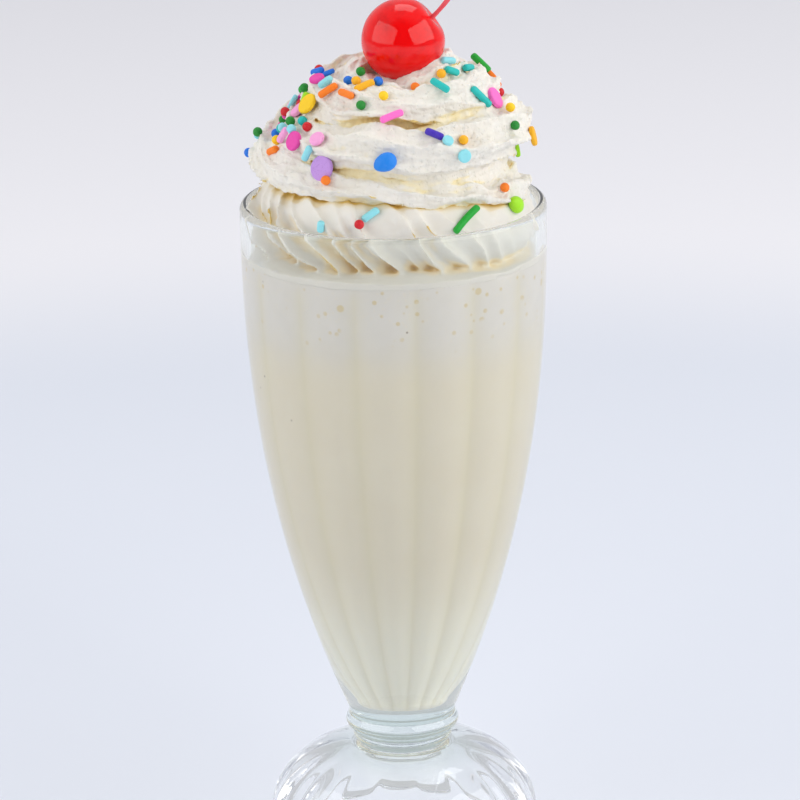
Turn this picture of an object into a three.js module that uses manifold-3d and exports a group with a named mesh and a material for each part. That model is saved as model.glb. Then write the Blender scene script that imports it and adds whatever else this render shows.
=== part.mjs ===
// A vanilla milkshake in a footed, fluted soda glass, with whipped cream, sprinkles and a cherry.
// Millimetres, +Z up. The glass stands on z = 0 with its axis on Z, and its front looks along -Y.
// An azimuth is measured from the front towards +X, in degrees.
import * as THREE from 'three';
import { mergeVertices } from 'three/addons/utils/BufferGeometryUtils.js';
import Module from 'manifold-3d';

const wasm = await Module();
wasm.setup();

// The glass
const GLASS_HEIGHT = 171;
const RIM_RADIUS = 40; // outside, at the widest ring of the lip
const LIP_ROUND = 1.5; // height of the lip's rounding above that ring
const LIP_WIDTH = 2.8;
const CAVITY_TOP = 0.4; // below the lip's widest ring, where the lip's rounding takes over
const BOWL_DEPTH = 137; // from the lip's widest ring down to the waist
const WAIST_RADIUS = 14.2;
const BOWL_CURVE = 2.3; // the wall draws in with this power of the depth
const WALL_GROWTH = 6.6; // how much thicker the wall is at the cavity's floor
const CAVITY_FLOOR = 35;
const FLOOR_FILLET = 2.4;
const COLLAR = { below: 1.6, bottom: 26, radius: 14.1, bulge: 1.3 }; // it starts below the waist
const NECK = { bottom: 22.2, radius: 13.2, footRadius: 11.4, bulge: 0.5 };
const FOOT = { radius: 35.5, flatTop: 14, edge: 1.5, ringOut: 34.3, ringIn: 31.3 };
const HOLLOW = { radius: 30.4, flatTop: 9, height: 17, above: 0.6 }; // above the table where it starts

// Its flutes, pressed into the inside of the bowl and both faces of the foot
const FLUTES = 15;
const RIDGE_AZIMUTH = 8.1;
const FLUTE_DEPTH = 1.0;
const FULL_FLUTES = 30; // the cavity's radius from which they are that deep,
const LEAST_FLUTES = 0.35; // and their share of it where the cavity is narrowest
const FLUTES_START = 9; // below the lip, and they reach full depth this much lower:
const FLUTES_FADE = 8;
const FOOT_FLUTE_DEPTH = 0.7;
const SIDES = FLUTES * 4; // facets round the glass, so that each ridge falls on an edge

// What fills it
const FIT = 0.35; // clearance between neighbours
const SHAKE_LEVEL = 139;
const FOAM_LEVEL = 158;

// The cream's rope winds up clockwise from the back. A row for each quarter turn, back, right,
// front, left and round again: how far it reaches from the axis, how high its middle is above the
// lip's widest ring, its half width and its half height.
const SWIRL = [
  [36.8, -3.0, 9.0, 9.0],
  [36.8, -3.5, 9.0, 9.0],
  [36.6, -0.8, 9.0, 10.4],
  [36.2, 0.5, 9.0, 8.4],
  [36.0, 4.5, 8.5, 8.0],
  [36.0, 4.0, 8.0, 6.4],
  [34.6, 10.5, 7.5, 5.0],
  [36.5, 13.0, 8.0, 7.2],
  [36.5, 17.0, 8.5, 8.0],
  [37.0, 20.5, 9.0, 8.5],
  [35.2, 20.0, 8.5, 7.6],
  [29.0, 21.0, 8.0, 7.2],
  [29.0, 26.0, 8.0, 7.5],
  [29.2, 29.0, 8.0, 8.0],
  [26.0, 29.5, 8.0, 6.0],
  [23.0, 29.0, 7.0, 7.0],
  [20.5, 33.0, 7.0, 6.0],
  [20.5, 34.5, 6.5, 6.0],
  [16.5, 31.0, 6.0, 4.7],
  [15.0, 33.0, 6.0, 5.0],
  [11.0, 34.5, 5.0, 4.5],
];
const STAR_TEETH = 7;
const STAR_DEPTH = 0.1;
const TEETH_TWIST = 0.18; // turns of the star for each quarter turn of the swirl
const ROPE_LAP = 0.12; // quarter turns by which each half turn of rope runs into the next,
const ROPE_END = 0.88; // drawn in to this share of its size
const CREAM_CORE = [[30, -12], [29, 4], [28, 14], [24, 22], [15, 29], [8, 34], [0, 36]];

// The cherry lies on its side, with its stalk to the right
const CHERRY = { radius: 10.9, x: 3.4, height: 44.2, lean: 52, dimple: 0.16, dimpleWidth: 0.35 };
const STALK = { radius: 0.6, tip: 1.1, tipFrom: 0.85, length: 29, rise: 33, bend: 12 };

// The sprinkles: balls, rods and flat round ones, set into the cream towards a point on the axis
const AIM_HEIGHT = 8; // of that point above the lip's widest ring
const BALL_RADIUS = 1.25;
const ROD_RADIUS = 0.95;
const DISC = { radius: 2.9, thickness: 1.3 };
// The ones that can be told apart: azimuth, lift above the aim point, length, and heading of the
// length or edge, clockwise from upright as seen from outside
const RODS = [
  [35, -7, 10, 45],
  [0, 40, 6.4, 65],
  [21, 31, 5, 115],
  [32, 55, 5.6, 155],
  [58, 42, 7, 155],
  [83, 55, 5, 110],
  [61, 60, 4.6, 125],
  [75, 64, 4.4, 130],
  [-48, 51, 5.6, 35],
  [-31, 51, 5, 105],
  [-24, 59, 5.6, 45],
  [-57, 55, 4.4, 40],
  [-10, -3, 5, 50],
  [-42, 22, 4.6, 30],
  [-97, 17, 4.4, 85],
];
const DISCS = [[-37, 15], [-3, 18], [66, -4], [73, 39], [-63, 43], [-54, 25], [83, 17]];
const BALLS = [[-14, -6], [-30, 11], [57, 2], [-98, 9], [-19, 46], [-5, 50], [25, 61], [68, 27]];
// How far the middle of each kind stands out of the cream
const SUNK = { ball: 0.4, rod: 0.3, disc: 0.25 };
// The rest are strewn: thickly over the left shoulder, and thinly round the back
const STREWN = 20;
const CLUSTER = { share: 0.55, azimuth: -76, width: 32, lift: 36, height: 26 };
const THIN = { azimuth: 92, width: 165, lift: 4, height: 58 };
const KIND_SHARES = { ball: 0.6, rod: 0.92 };
const STREWN_ROD = { shortest: 4, longest: 6.5 };
const SPACING = 5; // least angle between two of them, in degrees
const FIRST_SEED = 4171;
const SHORTEST_EDGE = 0.05; // that joining the cream's pieces may leave

const RIM_LEVEL = GLASS_HEIGHT - LIP_ROUND;
const degrees = THREE.MathUtils.degToRad;
const { lerp, clamp, smoothstep } = THREE.MathUtils;

/** The profile points from an angle to another on an ellipse, both ends included. */
function arc(centreX, centreY, radiusX, radiusY, from, to, steps) {
  return Array.from({ length: steps + 1 }, (_, i) => {
    const angle = degrees(lerp(from, to, i / steps));
    return new THREE.Vector2(
      centreX + radiusX * Math.cos(angle),
      centreY + radiusY * Math.sin(angle),
    );
  });
}

/** Heights from one level to another, closer together near the end. */
function levels(from, to, steps) {
  return Array.from({ length: steps + 1 }, (_, i) => lerp(from, to, Math.sin((i / steps) * Math.PI / 2)));
}

function outerRadius(z) {
  return RIM_RADIUS - (RIM_RADIUS - WAIST_RADIUS) * ((RIM_LEVEL - z) / BOWL_DEPTH) ** BOWL_CURVE;
}

function cavityRadius(z) {
  const share = (RIM_LEVEL - z) / (RIM_LEVEL - CAVITY_FLOOR);
  return outerRadius(z) - LIP_WIDTH - WALL_GROWTH * share ** 4;
}

/** A closed solid of revolution about Z, from a profile that starts and ends on the axis. */
function turned(profile, sides = SIDES) {
  const geometry = new THREE.LatheGeometry(profile, sides, degrees(RIDGE_AZIMUTH));
  return geometry.rotateX(Math.PI / 2);
}

/** Moves each point of a turned solid in or out to follow the flutes, as deep as depthAt says. */
function fluted(geometry, depthAt) {
  const points = geometry.attributes.position;
  for (let i = 0; i < points.count; i += 1) {
    const [x, y, z] = [points.getX(i), points.getY(i), points.getZ(i)];
    const radius = Math.hypot(x, y);
    if (radius < 0.01) continue;
    const turn = Math.atan2(x, -y) - degrees(RIDGE_AZIMUTH);
    const lobe = Math.abs(Math.sin(turn * FLUTES / 2)) - 2 / Math.PI;
    const scale = 1 + (depthAt(radius, z) * lobe) / radius;
    points.setXY(i, x * scale, y * scale);
  }
  return geometry;
}

/** The flutes' depth on the wall of the cavity: none at the lip, and less where it is narrow. */
function bowlFluteDepth(radius, z) {
  const below = RIM_LEVEL - z - FLUTES_START;
  const narrow = lerp(LEAST_FLUTES, 1, clamp(radius / FULL_FLUTES, 0, 1));
  return FLUTE_DEPTH * smoothstep(below, 0, FLUTES_FADE) * narrow;
}

/** The flutes' depth at any point of the glass's skin. The outside of the bowl is smooth. */
function glassFluteDepth(radius, z) {
  const onFoot = z < NECK.bottom - 0.5;
  if (onFoot) return FOOT_FLUTE_DEPTH * Math.sin(Math.PI * clamp(z / NECK.bottom, 0, 1));
  const inside = z > CAVITY_FLOOR - 0.1 && radius < outerRadius(z) - LIP_WIDTH / 2;
  return inside ? bowlFluteDepth(radius, z) : 0;
}

/** The heights of the cavity wall's rings, from the floor's fillet up, closer at both ends. */
const WALL_RINGS = Array.from({ length: 11 }, (_, i) => {
  const share = (1 - Math.cos((Math.PI * i) / 10)) / 2;
  return lerp(CAVITY_FLOOR + FLOOR_FILLET, RIM_LEVEL - CAVITY_TOP, share);
});

/** The cavity's wall between two heights, as profile points. */
function wallProfile(bottom, top, clearance) {
  const between = WALL_RINGS.filter((z) => z > bottom + 0.5 && z < top - 0.5);
  return [bottom, ...between, top].map((z) => new THREE.Vector2(cavityRadius(z) - clearance, z));
}

/** The cavity's floor and its wall up to a level, as profile points. */
function cavityProfile(level, clearance) {
  const corner = CAVITY_FLOOR + FLOOR_FILLET;
  const reach = cavityRadius(corner) - FLOOR_FILLET;
  const fillet = FLOOR_FILLET - clearance;
  return [
    new THREE.Vector2(0, CAVITY_FLOOR + clearance),
    ...arc(reach, corner, fillet, fillet, -90, 0, 2),
    ...wallProfile(corner, level, clearance).slice(1),
  ];
}

function glassGeometry() {
  const lip = arc(RIM_RADIUS - LIP_WIDTH / 2, RIM_LEVEL, LIP_WIDTH / 2, LIP_ROUND, 180, 0, 5);
  const waist = RIM_LEVEL - BOWL_DEPTH;
  const outside = levels(RIM_LEVEL, waist, 8)
    .slice(1)
    .map((z) => new THREE.Vector2(outerRadius(z), z));
  const beads = [
    ...bead(waist - COLLAR.below, COLLAR.bottom, COLLAR.radius, NECK.radius, COLLAR.bulge, 3),
    ...bead(COLLAR.bottom, NECK.bottom, NECK.radius, NECK.footRadius, NECK.bulge, 2).slice(1),
  ];
  const rise = NECK.bottom - FOOT.edge;
  const foot = arc(FOOT.flatTop, FOOT.edge, FOOT.radius - FOOT.flatTop, rise, 90, 0, 5);
  const ring = [new THREE.Vector2(FOOT.ringOut, 0), new THREE.Vector2(FOOT.ringIn, 0)];
  const hollow = arc(HOLLOW.flatTop, HOLLOW.above, HOLLOW.radius - HOLLOW.flatTop, HOLLOW.height, 0, 90, 4);
  const crown = new THREE.Vector2(0, HOLLOW.above + HOLLOW.height);
  const profile = [
    ...cavityProfile(RIM_LEVEL - CAVITY_TOP, 0),
    ...lip,
    ...outside,
    ...beads,
    ...foot,
    ...ring,
    ...hollow,
    crown,
  ];
  return fluted(turned(profile), glassFluteDepth);
}

/** A rounded ring on the stem, between two heights and two radii. */
function bead(top, bottom, topRadius, bottomRadius, bulge, steps) {
  return Array.from({ length: steps + 1 }, (_, i) => {
    const share = i / steps;
    const radius = lerp(topRadius, bottomRadius, share) + bulge * Math.sin(Math.PI * share);
    return new THREE.Vector2(radius, lerp(top, bottom, share));
  });
}

function milkshakeGeometry() {
  const profile = [...cavityProfile(SHAKE_LEVEL, FIT), new THREE.Vector2(0, SHAKE_LEVEL)];
  return fluted(turned(profile), bowlFluteDepth);
}

function foamGeometry() {
  const bottom = SHAKE_LEVEL + FIT;
  const profile = [
    new THREE.Vector2(0, bottom),
    ...wallProfile(bottom, FOAM_LEVEL, FIT),
    new THREE.Vector2(0, FOAM_LEVEL),
  ];
  return fluted(turned(profile), bowlFluteDepth);
}

/** The signed volume of a closed mesh, which is below zero where its faces look inwards. */
function signedVolume(geometry) {
  const points = geometry.attributes.position;
  const index = geometry.index.array;
  const [a, b, c] = [new THREE.Vector3(), new THREE.Vector3(), new THREE.Vector3()];
  let sum = 0;
  for (let i = 0; i < index.length; i += 3) {
    a.fromBufferAttribute(points, index[i]);
    b.fromBufferAttribute(points, index[i + 1]);
    c.fromBufferAttribute(points, index[i + 2]);
    sum += a.dot(b.cross(c)) / 6;
  }
  return sum;
}

/** A geometry with only positions, shared corners, and all faces looking out. */
function welded(geometry) {
  const bare = geometry.clone();
  bare.deleteAttribute('normal');
  bare.deleteAttribute('uv');
  const whole = mergeVertices(bare, 1e-4);
  const kept = [];
  for (let i = 0; i < whole.index.count; i += 3) {
    const [a, b, c] = [whole.index.getX(i), whole.index.getX(i + 1), whole.index.getX(i + 2)];
    if (a !== b && b !== c && c !== a) kept.push(a, b, c);
  }
  whole.setIndex(kept);
  if (signedVolume(whole) < 0) whole.setIndex(kept.reverse());
  return whole;
}

function toManifold(geometry) {
  const whole = welded(geometry);
  return new wasm.Manifold(new wasm.Mesh({
    numProp: 3,
    vertProperties: new Float32Array(whole.attributes.position.array),
    triVerts: new Uint32Array(whole.index.array),
  }));
}

function fromManifold(manifold) {
  const mesh = manifold.getMesh();
  const geometry = new THREE.BufferGeometry();
  geometry.setAttribute('position', new THREE.Float32BufferAttribute(mesh.vertProperties, 3));
  geometry.setIndex(Array.from(mesh.triVerts));
  geometry.computeVertexNormals();
  return geometry;
}

/** Each corner's neighbours, as a list of sets. */
function neighbours(faces, count) {
  const near = Array.from({ length: count }, () => new Set());
  for (const [a, b, c] of faces) {
    near[a].add(b).add(c);
    near[b].add(c).add(a);
    near[c].add(a).add(b);
  }
  return near;
}

/** The geometry with every edge shorter than a length drawn together, where that keeps it closed. */
function withoutShortEdges(geometry, shortest) {
  const points = geometry.attributes.position;
  const corner = (i) => new THREE.Vector3().fromBufferAttribute(points, i);
  const index = geometry.index.array;
  const face = (_, i) => Array.from(index.slice(3 * i, 3 * i + 3));
  let faces = Array.from({ length: index.length / 3 }, face);
  for (let changed = true; changed;) {
    changed = false;
    const near = neighbours(faces, points.count);
    const moved = new Map();
    const touched = new Set();
    for (const [a, b] of faces.flatMap(([p, q, r]) => [[p, q], [q, r], [r, p]])) {
      if (touched.has(a) || touched.has(b) || corner(a).distanceTo(corner(b)) > shortest) continue;
      const shared = [...near[a]].filter((i) => near[b].has(i));
      if (shared.length !== 2) continue;
      moved.set(b, a);
      for (const i of [a, b, ...near[a], ...near[b]]) touched.add(i);
      changed = true;
    }
    faces = faces
      .map((corners) => corners.map((i) => moved.get(i) ?? i))
      .filter(([a, b, c]) => a !== b && b !== c && c !== a);
  }
  return geometry.clone().setIndex(faces.flat());
}

/** The point at an azimuth, a distance from the axis and a height. */
function around(azimuth, radius, z) {
  const turn = degrees(azimuth);
  return new THREE.Vector3(radius * Math.sin(turn), -radius * Math.cos(turn), z);
}

/** The rope's reach, height, half width and half height, a number of quarter turns along it. */
function swirlAt(quarter) {
  const last = SWIRL.length - 1;
  const start = clamp(Math.floor(quarter), 0, last - 1);
  const row = (i) => SWIRL[clamp(i, 0, last)];
  return SWIRL[0].map((_, column) => catmullRom(
    quarter - start,
    row(start - 1)[column],
    row(start)[column],
    row(start + 1)[column],
    row(start + 2)[column],
  ));
}

function catmullRom(t, before, from, to, after) {
  const [slopeFrom, slopeTo] = [(to - before) / 2, (after - from) / 2];
  const bend = 2 * (from - to) + slopeFrom + slopeTo;
  return from + t * (slopeFrom + t * (3 * (to - from) - 2 * slopeFrom - slopeTo + t * bend));
}

/** A stretch of the rope: a cylinder bent along the swirl, with the star nozzle's section. */
function ropeGeometry(from, to, steps) {
  const geometry = new THREE.CylinderGeometry(1, 1, 1, STAR_TEETH * 2, steps);
  const points = geometry.attributes.position;
  for (let i = 0; i < points.count; i += 1) {
    const [x, y, z] = [points.getX(i), points.getY(i), points.getZ(i)];
    const quarter = lerp(from, to, y + 0.5);
    const [reach, height, halfWidth, halfHeight] = swirlAt(quarter);
    const angle = Math.atan2(x, z);
    const star = 1 - STAR_DEPTH + STAR_DEPTH * Math.cos(STAR_TEETH * angle);
    const end = Math.abs(y) > 0.499 ? ROPE_END : 1;
    const size = Math.hypot(x, z) * star * end;
    const twist = angle + degrees(360) * quarter * TEETH_TWIST;
    const radius = reach - halfWidth + halfWidth * size * Math.cos(twist);
    const level = RIM_LEVEL + height + halfHeight * size * Math.sin(twist);
    const point = around(180 - 90 * quarter, radius, level);
    points.setXYZ(i, point.x, point.y, point.z);
  }
  return geometry;
}

/** The space that the cream may fill: above the foam, inside the glass and clear of its lip. */
function creamRoom() {
  const wide = RIM_RADIUS + 5;
  const top = GLASS_HEIGHT + 60;
  const wall = levels(FOAM_LEVEL + FIT, RIM_LEVEL, 3)
    .map((z) => new THREE.Vector2(cavityRadius(z) - FLUTE_DEPTH * 0.7 - FIT, z));
  const profile = [
    new THREE.Vector2(0, FOAM_LEVEL + FIT),
    ...wall,
    new THREE.Vector2(RIM_RADIUS - LIP_WIDTH - FIT, GLASS_HEIGHT + FIT),
    new THREE.Vector2(wide, GLASS_HEIGHT + FIT),
    new THREE.Vector2(wide, top),
    new THREE.Vector2(0, top),
  ];
  return toManifold(turned(profile, SIDES));
}

function creamBody() {
  const core = CREAM_CORE.map(([radius, height]) => new THREE.Vector2(radius, RIM_LEVEL + height));
  let body = toManifold(turned([new THREE.Vector2(0, core[0].y), ...core], 30));
  for (let quarter = 0; quarter < SWIRL.length - 1; quarter += 2) {
    body = body.add(toManifold(ropeGeometry(quarter - ROPE_LAP, quarter + 2 + ROPE_LAP, 10)));
  }
  return body;
}

/** The largest shell of a solid, which drops loose scraps and fills the hollows that joining seals. */
function outerShell(manifold) {
  const shells = manifold.decompose();
  return shells.reduce((best, shell) => (shell.volume() > best.volume() ? shell : best));
}

/** The direction of an azimuth and a lift. */
function direction(azimuth, lift) {
  return around(azimuth, Math.cos(degrees(lift)), Math.sin(degrees(lift)));
}

/** The strewn sprinkles, as azimuth, lift, length, heading and kind, clear of those given. */
function strewn(taken) {
  let seed = FIRST_SEED;
  const draw = () => {
    seed = (seed * 1664525 + 1013904223) % 4294967296;
    return seed / 4294967296;
  };
  const found = [];
  const placed = taken.map(([azimuth, lift]) => direction(azimuth, lift));
  while (found.length < STREWN) {
    const zone = draw() < CLUSTER.share ? CLUSTER : THIN;
    const across = zone === CLUSTER ? draw() + draw() - 1 : draw();
    const up = zone === CLUSTER ? draw() + draw() - 1 : draw();
    const pick = draw();
    const kind = pick < KIND_SHARES.ball ? 'ball' : pick < KIND_SHARES.rod ? 'rod' : 'disc';
    const length = lerp(STREWN_ROD.shortest, STREWN_ROD.longest, draw());
    const heading = 180 * draw();
    const azimuth = zone.azimuth + zone.width * across;
    const lift = zone.lift + zone.height * up;
    const towards = direction(azimuth, lift);
    if (placed.every((other) => other.angleTo(towards) > degrees(SPACING))) {
      placed.push(towards);
      found.push([azimuth, lift, length, heading, kind]);
    }
  }
  return found;
}

/** A low-sided sprinkle of one kind about the origin, flat on XY with its length along Y. */
function sprinkleGeometry(kind, length) {
  if (kind === 'ball') return new THREE.IcosahedronGeometry(BALL_RADIUS, 0);
  if (kind === 'rod') return new THREE.CapsuleGeometry(ROD_RADIUS, length - 2 * ROD_RADIUS, 1, 5);
  return new THREE.CylinderGeometry(DISC.radius, DISC.radius, DISC.thickness, 8).rotateX(Math.PI / 2);
}

/** Every sprinkle as a solid, half sunk where its line to the aim point meets the cream. */
function sprinkleSolids(cream) {
  const skin = new THREE.Mesh(fromManifold(cream), new THREE.MeshBasicMaterial());
  const aim = new THREE.Vector3(0, 0, RIM_LEVEL + AIM_HEIGHT);
  const told = [
    ...DISCS.map(([azimuth, lift]) => [azimuth, lift, 0, 0, 'disc']),
    ...RODS.map((row) => [...row, 'rod']),
    ...BALLS.map(([azimuth, lift]) => [azimuth, lift, 0, 0, 'ball']),
  ];
  return [...told, ...strewn(told)].map(([azimuth, lift, length, heading, kind]) => {
    const outwards = direction(azimuth, lift);
    const ray = new THREE.Raycaster(
      outwards.clone().multiplyScalar(RIM_RADIUS * 2).add(aim),
      outwards.clone().negate(),
    );
    const hit = ray.intersectObject(skin)[0];
    const normal = hit.face.normal.clone().add(outwards).normalize();
    const sideways = around(azimuth + 90, 1, 0);
    const upright = normal.clone().cross(sideways).normalize();
    const along = upright.multiplyScalar(Math.cos(degrees(heading)))
      .addScaledVector(sideways, Math.sin(degrees(heading)))
      .projectOnPlane(normal)
      .normalize();
    const across = along.clone().cross(normal);
    const place = new THREE.Matrix4().makeBasis(across, along, normal);
    place.setPosition(hit.point.clone().addScaledVector(normal, SUNK[kind]));
    return toManifold(sprinkleGeometry(kind, length).applyMatrix4(place));
  });
}

/** A cherry about the origin with its dimple on +Z, then laid over and put on the cream. */
function cherryGeometry(clearance = 0) {
  const rows = 10;
  const profile = Array.from({ length: rows + 1 }, (_, i) => {
    const polar = Math.PI * (1 - i / rows);
    const dimple = clearance ? 0 : CHERRY.dimple * Math.exp(-((polar / CHERRY.dimpleWidth) ** 2));
    const radius = (CHERRY.radius + clearance) * (1 - dimple);
    return new THREE.Vector2(Math.max(radius * Math.sin(polar), 0), radius * Math.cos(polar));
  });
  profile[0].x = 0;
  profile[rows].x = 0;
  const geometry = new THREE.LatheGeometry(profile, 20).rotateX(Math.PI / 2);
  geometry.rotateY(degrees(CHERRY.lean));
  return geometry.translate(CHERRY.x, 0, RIM_LEVEL + CHERRY.height);
}

/** The stalk: a thin cylinder bent along an arc, from the dimple to its thicker tip. */
function stalkGeometry() {
  const seat = CHERRY.radius * (1 - CHERRY.dimple) + FIT;
  const lean = degrees(CHERRY.lean);
  const rise = degrees(STALK.rise);
  const start = new THREE.Vector3(
    CHERRY.x + seat * Math.sin(lean),
    0,
    RIM_LEVEL + CHERRY.height + seat * Math.cos(lean),
  );
  const out = new THREE.Vector3(Math.sin(lean), 0, Math.cos(lean));
  const upwards = new THREE.Vector3(Math.sin(rise), 0, Math.cos(rise));
  const knee = start.clone().addScaledVector(out, STALK.bend / 2);
  const end = knee.clone().addScaledVector(upwards, STALK.length - STALK.bend / 2);
  const path = new THREE.QuadraticBezierCurve3(start, knee, end);
  const geometry = new THREE.CylinderGeometry(1, 1, 1, 7, 7);
  const points = geometry.attributes.position;
  for (let i = 0; i < points.count; i += 1) {
    const [x, y, z] = [points.getX(i), points.getY(i), points.getZ(i)];
    const share = y + 0.5;
    const along = path.getTangent(share);
    const across = new THREE.Vector3(along.z, 0, -along.x);
    const radius = lerp(STALK.radius, STALK.tip, smoothstep(share, STALK.tipFrom, 1));
    const point = path.getPoint(share).addScaledVector(across, x * radius);
    points.setXYZ(i, point.x, point.y + z * radius, point.z);
  }
  return geometry;
}

const COLOURS = {
  glass: { color: 0xdfe8e6, roughness: 0.03, metalness: 0 },
  milkshake: { color: 0xe9dfc8, roughness: 0.35, metalness: 0 },
  foam: { color: 0xf1ece0, roughness: 0.5, metalness: 0 },
  cream: { color: 0xf9f5ec, roughness: 0.6, metalness: 0 },
  cherry: { color: 0xd4121c, roughness: 0.12, metalness: 0 },
  stalk: { color: 0xc4303a, roughness: 0.35, metalness: 0 },
};

function sub(name, geometry, finish) {
  const mesh = new THREE.Mesh(welded(geometry), new THREE.MeshStandardMaterial(finish));
  mesh.name = name;
  return mesh;
}

const group = new THREE.Group();
let cream = creamBody();
for (const solid of sprinkleSolids(cream)) cream = cream.add(solid);
cream = cream.intersect(creamRoom()).subtract(toManifold(cherryGeometry(FIT)));
cream = outerShell(cream);
group.add(
  sub('glass', glassGeometry(), COLOURS.glass),
  sub('milkshake', milkshakeGeometry(), COLOURS.milkshake),
  sub('milkshake_foam', foamGeometry(), COLOURS.foam),
  sub('whipped_cream', withoutShortEdges(fromManifold(cream), SHORTEST_EDGE), COLOURS.cream),
  sub('cherry', cherryGeometry(), COLOURS.cherry),
  sub('cherry_stalk', stalkGeometry(), COLOURS.stalk),
);

export default group;
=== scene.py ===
"""A vanilla milkshake in a fluted soda glass, with whipped cream, sprinkles and a cherry.

Lengths are in millimetres until a mesh is made, and azimuths are in degrees from the front, which
looks along -Y, towards +X.
"""
import math

import bmesh
import bpy
import numpy as np
from mathutils import Matrix, Vector, noise
from mathutils.bvhtree import BVHTree


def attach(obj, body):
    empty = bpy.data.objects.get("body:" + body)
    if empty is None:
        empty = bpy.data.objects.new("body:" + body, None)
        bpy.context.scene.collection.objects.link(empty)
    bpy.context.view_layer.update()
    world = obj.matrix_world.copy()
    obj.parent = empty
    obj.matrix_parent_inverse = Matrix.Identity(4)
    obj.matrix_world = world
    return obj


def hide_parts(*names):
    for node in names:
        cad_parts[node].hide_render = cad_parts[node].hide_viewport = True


MM = 0.001

# The glass, as in the part's source
GLASS_HEIGHT = 171.0
RIM_RADIUS = 40.0
LIP_ROUND = 1.5
LIP_WIDTH = 2.8
BOWL_DEPTH = 137.0
WAIST_RADIUS = 14.2
BOWL_CURVE = 2.3
WALL_GROWTH = 6.6
CAVITY_FLOOR = 35.0
FLOOR_FILLET = 2.4
COLLAR_BOTTOM, COLLAR_RADIUS, COLLAR_BULGE = 26.0, 14.1, 1.3
NECK_BOTTOM, NECK_RADIUS, NECK_FOOT_RADIUS, NECK_BULGE = 22.2, 13.2, 11.4, 0.5
FOOT_RADIUS, FOOT_FLAT_TOP, FOOT_EDGE, FOOT_RING_OUT, FOOT_RING_IN = 35.5, 14.0, 1.5, 34.3, 31.3
HOLLOW_RADIUS, HOLLOW_FLAT_TOP, HOLLOW_HEIGHT, HOLLOW_ABOVE = 30.4, 9.0, 17.0, 0.6
RIM_LEVEL = GLASS_HEIGHT - LIP_ROUND

# Its flutes
FLUTES = 15
RIDGE_AZIMUTH = 8.1
FLUTE_DEPTH = 1.0
FLUTES_START = 9.0
FLUTES_FADE = 8.0
FOOT_FLUTE_DEPTH = 0.7
FOOT_FLUTES_FADE = (15.0, 27.0)
COLUMNS = FLUTES * 24
RIDGE_ROUNDING = 0.16

# What fills it
SHAKE_LEVEL = 139.0
FOAM_LEVEL = 158.0
INTO_WALL = 0.12  # how far what fills the glass reaches into its wall
OVERLAP = 0.4  # how far what lies on another thing sinks into it
CREASE = 0.03  # between the two rings of points that keep a corner crisp

# The cream's rope: reach, height above the lip, half width and half height at each quarter turn
SWIRL = np.array([
    [36.8, -3.0, 9.0, 9.0],
    [36.8, -3.5, 9.0, 9.0],
    [36.6, -0.8, 9.0, 10.4],
    [36.2, 0.5, 9.0, 8.4],
    [36.0, 4.5, 8.5, 8.0],
    [36.0, 4.0, 8.0, 6.4],
    [34.6, 10.5, 7.5, 5.0],
    [36.5, 13.0, 8.0, 7.2],
    [36.5, 17.0, 8.5, 8.0],
    [37.0, 20.5, 9.0, 8.5],
    [35.2, 20.0, 8.5, 7.6],
    [29.0, 21.0, 8.0, 7.2],
    [29.0, 26.0, 8.0, 7.5],
    [29.2, 29.0, 8.0, 8.0],
    [26.0, 29.5, 8.0, 6.0],
    [23.0, 29.0, 7.0, 7.0],
    [20.5, 33.0, 7.0, 6.0],
    [20.5, 34.5, 6.5, 6.0],
    [16.5, 31.0, 6.0, 4.7],
    [15.0, 33.0, 6.0, 5.0],
    [11.0, 34.5, 5.0, 4.5],
])
# The cream inside the rope: radius and height above the lip
PLEATS_CORE = [(0.0, -12.5), (30.0, -12.5), (29.0, 4.0), (26.0, 8.0), (0.0, 9.0)]
SWIRL_CORE = [
    (0.0, 0.0), (29.0, 0.0), (30.0, 14.0), (27.5, 22.0),
    (22.0, 28.5), (13.0, 33.0), (5.0, 35.0), (0.0, 36.0),
]
# Each kind of rope. First its start and end in quarter turns, and the rings of points in each of
# them. Then the star nozzle's teeth, how deep its furrows are, how far its ridges lean, and its turns
# for each quarter turn. Then how square the rope's lower side is, how far its upper side calms down,
# and how far the nozzle wanders as it turns. Last the fine lines along the rope.
PLEATED = {
    "start": -0.4, "end": 4.1, "rings": 80,
    "teeth": 8, "depth": 0.5, "lean": 0.12, "twist": 1.13,
    "square": 0.6, "calm": 0.72, "wobble": 0.07,
    "lines": 0, "line_depth": 0.0,
}
TORN = {
    "start": 3.7, "end": 20.0, "rings": 60,
    "teeth": 8, "depth": 0.26, "lean": 0.08, "twist": 0.16,
    "square": 1.0, "calm": 0.0, "wobble": 0.0,
    "lines": 37, "line_depth": 0.035,
}
# The star's mark for every rope: points for each tooth, the rope's mean size, how far furrows reach
# in and ridges out, how sharp the furrows are, how much the ridges differ, and the least of them
TOOTH_POINTS = 14
ROPE_SIZE, FURROW_REACH, RIDGE_REACH = 1.06, 0.75, 0.9
FURROW_SHARPNESS, RIDGE_SPREAD, LEAST_RIDGE = 0.9, 1.2, 0.15
ROPE_END = 0.16  # the round ends' length, in quarter turns
CALM_SIDE = (-0.1, 0.8)
# Where the glass smears the pleats: how much, and where and how widely in quarter turns
SMEARED, SMEAR_MIDDLE, SMEAR_WIDTH = 0.92, 1.3, 0.5
# The cells that fuse each tier, and how each tier's skin is worn
PLEATS_CELL, SWIRL_CELL = 0.42, 0.40
PLEATS_SMOOTHING = 3
FOLDS_IN_GLASS, FOLDS_ABOVE, FOLD_SIZE = 0.35, 0.75, 8.0
SILK_STREAKS = 0.08
TORN_LUMPS, TORN_STREAKS, TORN_CRUMBS = 0.6, 0.55, 0.28
SAG, SAG_SIZE = 1.5, 12.0
LOOK_REACH = 5.0  # how far from a point cream still shuts it in
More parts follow.
